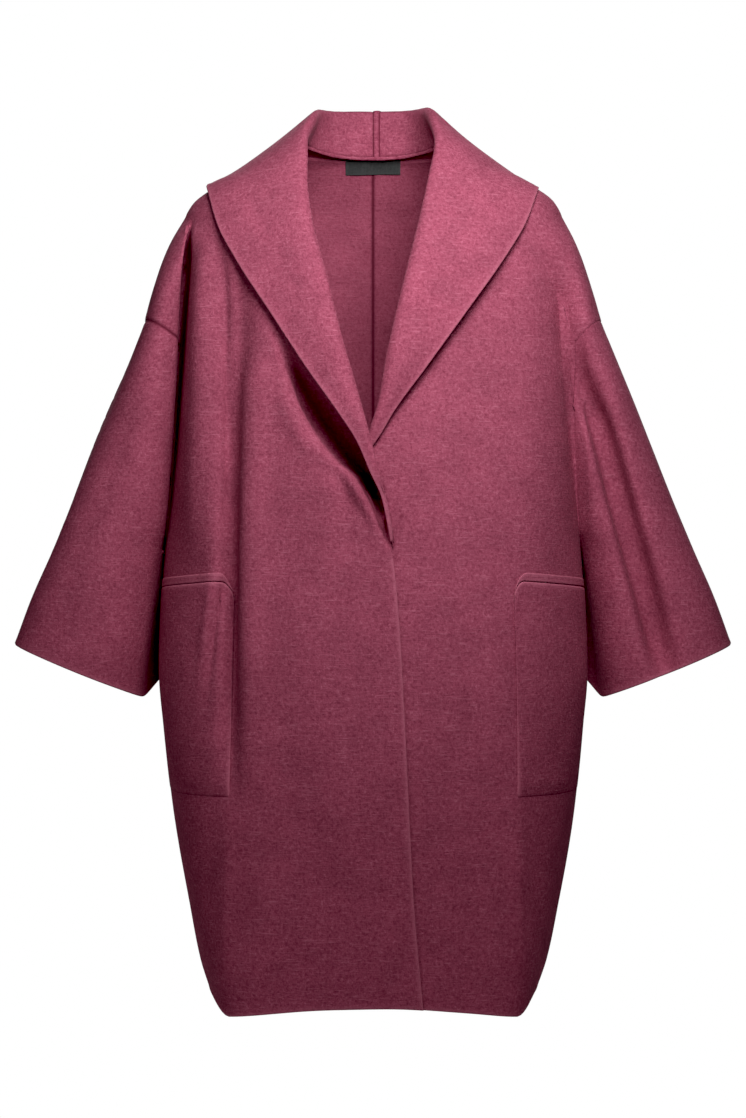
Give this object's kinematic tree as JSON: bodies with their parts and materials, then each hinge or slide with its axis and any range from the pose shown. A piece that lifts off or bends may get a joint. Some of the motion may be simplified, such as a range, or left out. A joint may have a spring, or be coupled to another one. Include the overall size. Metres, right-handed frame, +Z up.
{
  "type": "cocoon coat",
  "caption": "Knee-length cocoon coat in thick wool with a wide shawl collar, dropped shoulders, wide cropped sleeves and patch pockets, worn open over the shoulders",
  "frame": {"origin": "between the shoulders at the base of the neck, on the plane of the shoulder seams, where the wearer carries the coat", "axes": "+Z up the coat, -Y to the front that the picture shows, +X to the wearer's left"},
  "size_m": [0.845, 0.3764, 1.0608],
  "materials": {
    "wool": "soft brushed double-faced wool in heathered plum",
    "label_tape": "matt black woven tape, left plain"
  },
  "bodies": {
    "root": {"back_left": "wool", "back_right": "wool", "front_left": "wool", "front_right": "wool", "sleeve_left": "wool", "sleeve_right": "wool", "collar_left": "wool", "collar_right": "wool", "pocket_left": "wool", "pocket_right": "wool", "pocket_welt_left": "wool", "pocket_welt_right": "wool", "label": "label_tape"}
  },
  "joints": []
}
